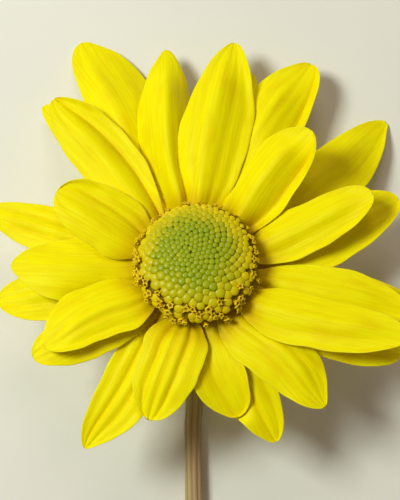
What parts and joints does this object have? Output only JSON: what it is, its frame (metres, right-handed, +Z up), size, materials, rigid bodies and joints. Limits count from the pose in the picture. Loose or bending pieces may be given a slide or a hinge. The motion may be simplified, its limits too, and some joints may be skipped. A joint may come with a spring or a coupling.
{
  "type": "cut daisy-form flower",
  "caption": "Cut yellow daisy-form bloom lying on its back: a domed disc of florets, three whorls of ray petals, a green involucre and one bare stem.",
  "frame": {"origin": "middle of the flower's box on the surface that it lies on", "axes": "+Z up from the surface; +Y from the cut end of the stem towards the head; +X to the right when looking down on the flower's face with the stem below it"},
  "size_m": [0.069, 0.1578, 0.0253],
  "materials": {
    "petal": "soft satin, finely veined",
    "disc": "waxy buds, green in the middle and golden at the rim",
    "bract": "leafy green with a dry pale margin",
    "stem": "ridged olive green with fine hairs"
  },
  "bodies": {
    "root": {"bract_inner_01": "bract", "bract_inner_02": "bract", "bract_inner_03": "bract", "bract_inner_04": "bract", "bract_inner_05": "bract", "bract_inner_06": "bract", "bract_inner_07": "bract", "bract_inner_08": "bract", "bract_inner_09": "bract", "bract_inner_10": "bract", "bract_inner_11": "bract", "bract_inner_12": "bract", "bract_inner_13": "bract", "bract_outer_01": "bract", "bract_outer_02": "bract", "bract_outer_03": "bract", "bract_outer_04": "bract", "bract_outer_05": "bract", "bract_outer_06": "bract", "bract_outer_07": "bract", "bract_outer_08": "bract", "disc_florets": "disc", "petal_back_01": "petal", "petal_back_02": "petal", "petal_back_03": "petal", "petal_back_04": "petal", "petal_back_05": "petal", "petal_back_06": "petal", "petal_back_07": "petal", "petal_back_08": "petal", "petal_back_09": "petal", "petal_back_10": "petal", "petal_back_11": "petal", "petal_front_01": "petal", "petal_front_02": "petal", "petal_front_03": "petal", "petal_front_04": "petal", "petal_front_05": "petal", "petal_front_06": "petal", "petal_front_07": "petal", "petal_front_08": "petal", "petal_front_09": "petal", "petal_middle_01": "petal", "petal_middle_02": "petal", "petal_middle_03": "petal", "petal_middle_04": "petal", "petal_middle_05": "petal", "petal_middle_06": "petal", "stem": "stem"}
  },
  "joints": []
}
